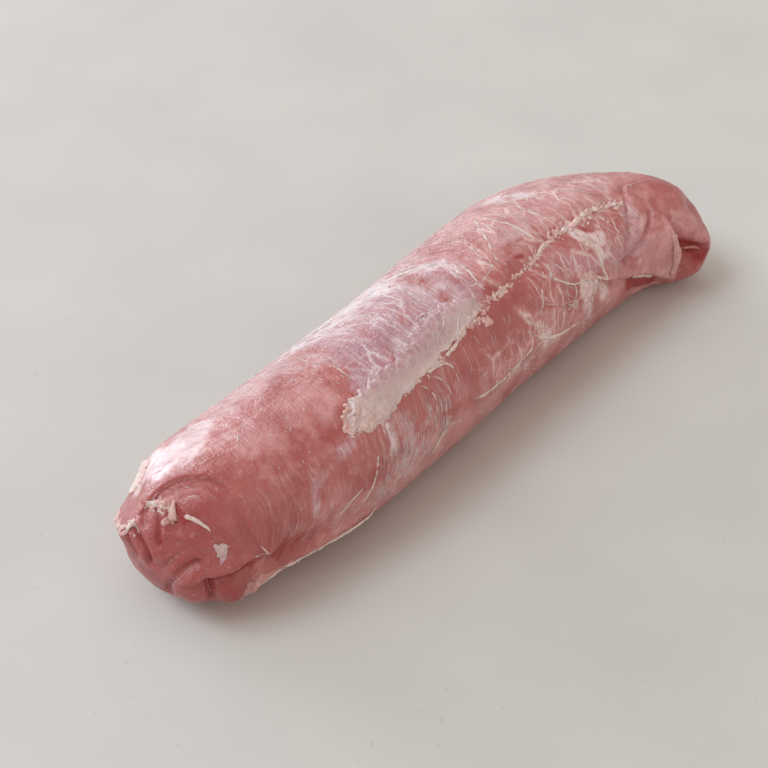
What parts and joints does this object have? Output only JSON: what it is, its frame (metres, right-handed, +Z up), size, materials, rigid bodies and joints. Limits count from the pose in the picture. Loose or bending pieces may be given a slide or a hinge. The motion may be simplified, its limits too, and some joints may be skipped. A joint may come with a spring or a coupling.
{
  "type": "raw pork tenderloin",
  "caption": "Raw pork tenderloin: a long rounded muscle lying on its flat side, bent a little, with a fat-lined seam along the top and folded ends.",
  "frame": {"origin": "on the surface it rests on, under the middle of its box", "axes": "+X along the length, from the blunt near end to the folded far end; +Z up; -Y is the side that the picture shows"},
  "size_m": [0.25, 0.0749, 0.048],
  "materials": {
    "muscle": "wet raw muscle, soft gloss",
    "fat": "moist raw fat, satin",
    "silver_skin": "wet connective skin, glossy and see-through"
  },
  "bodies": {
    "root": {"tenderloin": "muscle"}
  },
  "joints": []
}
